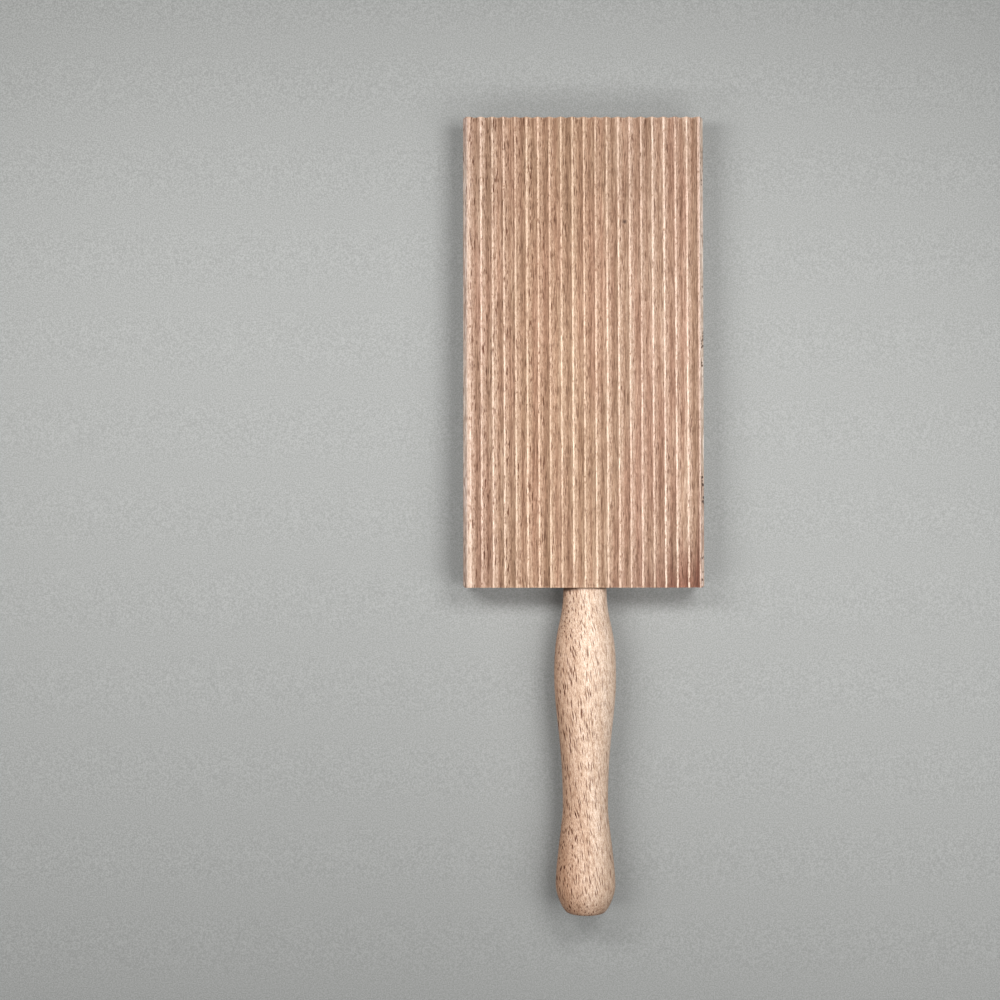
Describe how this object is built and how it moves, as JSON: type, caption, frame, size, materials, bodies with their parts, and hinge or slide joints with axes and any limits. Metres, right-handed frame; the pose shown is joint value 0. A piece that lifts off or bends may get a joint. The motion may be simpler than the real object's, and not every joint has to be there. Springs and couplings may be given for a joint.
{
  "type": "gnocchi board",
  "caption": "Flat beech board with scooped ribs along one face for rolling pasta, and a slim turned handle glued into one end.",
  "frame": {"origin": "middle of the board's flat back face", "axes": "+Z out of the ribbed face, +Y along the grooves away from the handle, +X across the grooves"},
  "size_m": [0.063, 0.2089, 0.0162],
  "materials": {
    "board_beech": "unfinished steamed beech, pinkish brown, with cutter-scooped grooves and paler rib tops",
    "handle_beech": "unfinished beech, pale cream, turned and sanded",
    "wood_glue": "set wood glue, hidden in the joint"
  },
  "bodies": {
    "root": {"ribbed_board": "board_beech", "handle": "handle_beech", "glue_film": "wood_glue"}
  },
  "joints": []
}
